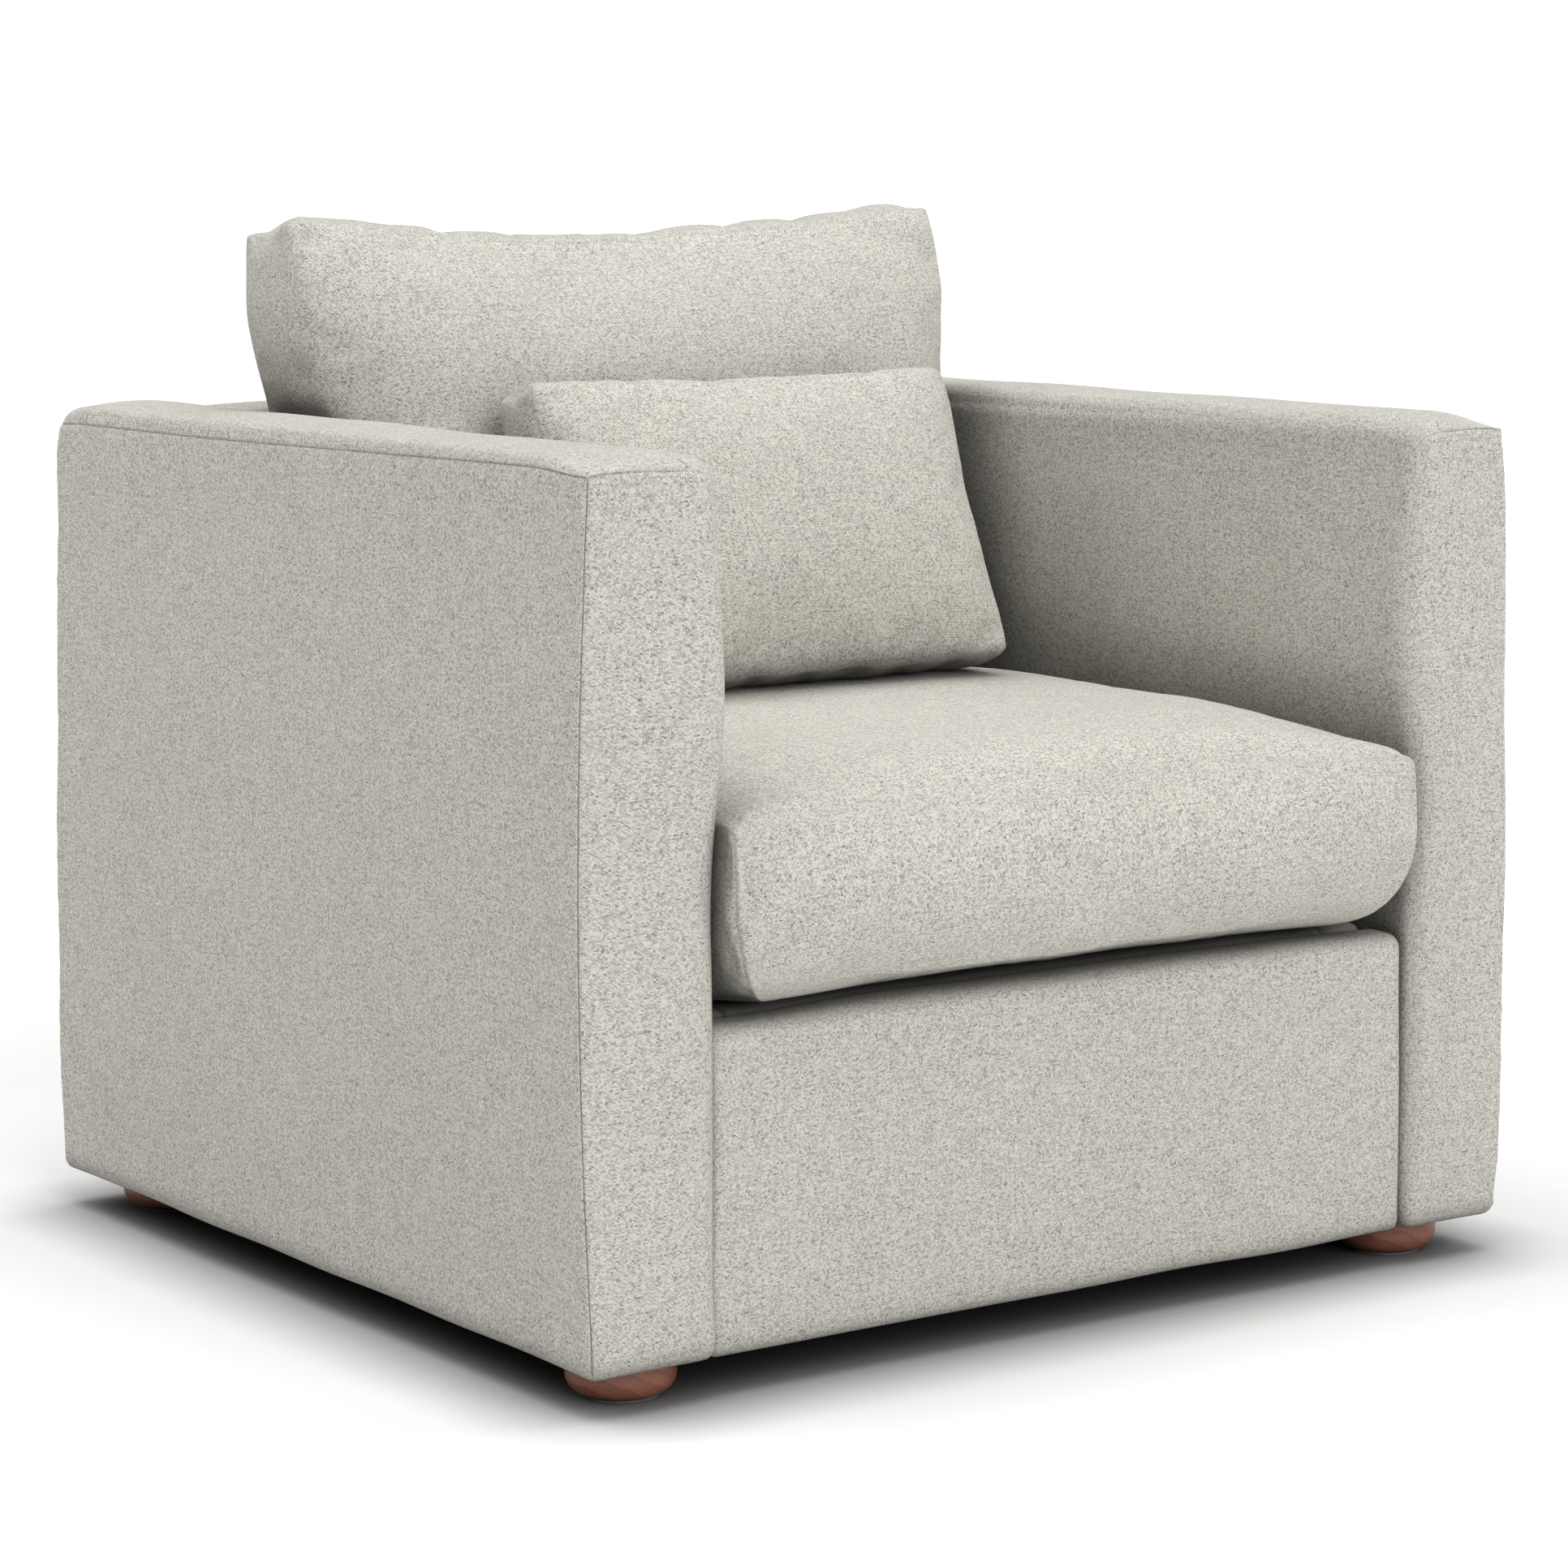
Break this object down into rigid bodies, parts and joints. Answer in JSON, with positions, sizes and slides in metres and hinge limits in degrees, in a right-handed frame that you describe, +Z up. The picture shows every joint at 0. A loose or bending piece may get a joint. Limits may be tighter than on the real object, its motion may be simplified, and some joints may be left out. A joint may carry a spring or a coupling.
{
  "type": "upholstered armchair",
  "caption": "Square upholstered armchair with arms and back of one height, a loose seat cushion, a loose back cushion, a lumbar pillow and low bun feet.",
  "frame": {"origin": "on the floor under the middle of the chair's bounding box", "axes": "+Z up, -Y towards the chair's front, +X towards the right arm as seen from the front"},
  "size_m": [0.9398, 0.942, 0.897],
  "materials": {
    "upholstery": "heathered chenille weave",
    "foot_wood": "satin red-brown stain",
    "frame_wood": "sawn plywood and hardwood",
    "filling": "foam and fibre filling",
    "glide_felt": "pressed felt",
    "webbing": "woven webbing",
    "dust_cloth": "thin non-woven cloth",
    "deck_cloth": "plain deck cloth",
    "zip_cloth": "woven tape with a nylon coil",
    "zip_metal": "dull nickel",
    "spring_steel": "oiled steel"
  },
  "bodies": {
    "chair_body": {"arm_cover_left": "upholstery", "arm_cover_right": "upholstery", "arm_front_post_left": "frame_wood", "arm_front_post_right": "frame_wood", "arm_pad_left": "filling", "arm_pad_right": "filling", "arm_rear_post_left": "frame_wood", "arm_rear_post_right": "frame_wood", "arm_side_panel_left": "upholstery", "arm_side_panel_right": "upholstery", "arm_tack_rail_left": "frame_wood", "arm_tack_rail_right": "frame_wood", "arm_top_rail_left": "frame_wood", "arm_top_rail_right": "frame_wood", "back_centre_slat": "frame_wood", "back_inner_cover": "upholstery", "back_lower_rail": "frame_wood", "back_outer_panel": "upholstery", "back_pad": "filling", "back_top_rail": "frame_wood", "back_webbing_straps": "webbing", "base_back_rail": "frame_wood", "base_front_rail": "frame_wood", "base_side_rail_left": "frame_wood", "base_side_rail_right": "frame_wood", "corner_block_screws": "spring_steel", "corner_blocks": "frame_wood", "dust_cover": "dust_cloth", "foot_front_left": "foot_wood", "foot_front_right": "foot_wood", "foot_glides": "glide_felt", "foot_hanger_bolts": "spring_steel", "foot_rear_left": "foot_wood", "foot_rear_right": "foot_wood", "foot_t_nuts": "spring_steel", "front_rail_cover": "upholstery", "front_rail_pad": "filling", "seat_deck_cloth": "deck_cloth", "seat_deck_pad": "filling", "seat_spring_1": "spring_steel", "seat_spring_2": "spring_steel", "seat_spring_3": "spring_steel", "seat_spring_4": "spring_steel", "seat_spring_5": "spring_steel", "seat_spring_rail": "frame_wood", "spring_clips": "spring_steel", "spring_felt": "glide_felt", "spring_tie_wires": "spring_steel"},
    "seat_cushion": {"seat_cushion_core": "filling", "seat_cushion_cover": "upholstery", "seat_zip_tape": "zip_cloth"},
    "seat_zip_slider": {"seat_zip_slider": "zip_metal"},
    "back_cushion": {"back_cushion_fill": "filling", "back_cushion_cover": "upholstery", "back_zip_tape": "zip_cloth"},
    "back_zip_slider": {"back_zip_slider": "zip_metal"},
    "lumbar_pillow": {"lumbar_pillow_fill": "filling", "lumbar_pillow_cover": "upholstery"}
  },
  "joints": [
    {"name": "seat_cushion_slide", "type": "slide", "parent": "chair_body", "child": "seat_cushion", "axis": [0, -1, 0], "range_m": [0, 0.3]},
    {"name": "back_cushion_lift", "type": "slide", "parent": "chair_body", "child": "back_cushion", "axis": [0, 0.165, 0.9863], "range_m": [0, 0.4]},
    {"name": "lumbar_pillow_lift", "type": "slide", "parent": "back_cushion", "child": "lumbar_pillow", "axis": [0, -0.9397, 0.342], "range_m": [0, 0.3]},
    {"name": "seat_zip_run", "type": "slide", "parent": "seat_cushion", "child": "seat_zip_slider", "axis": [1, 0, 0], "range_m": [0, 0.53]},
    {"name": "back_zip_run", "type": "slide", "parent": "back_cushion", "child": "back_zip_slider", "axis": [1, 0, 0], "range_m": [0, 0.53]}
  ]
}
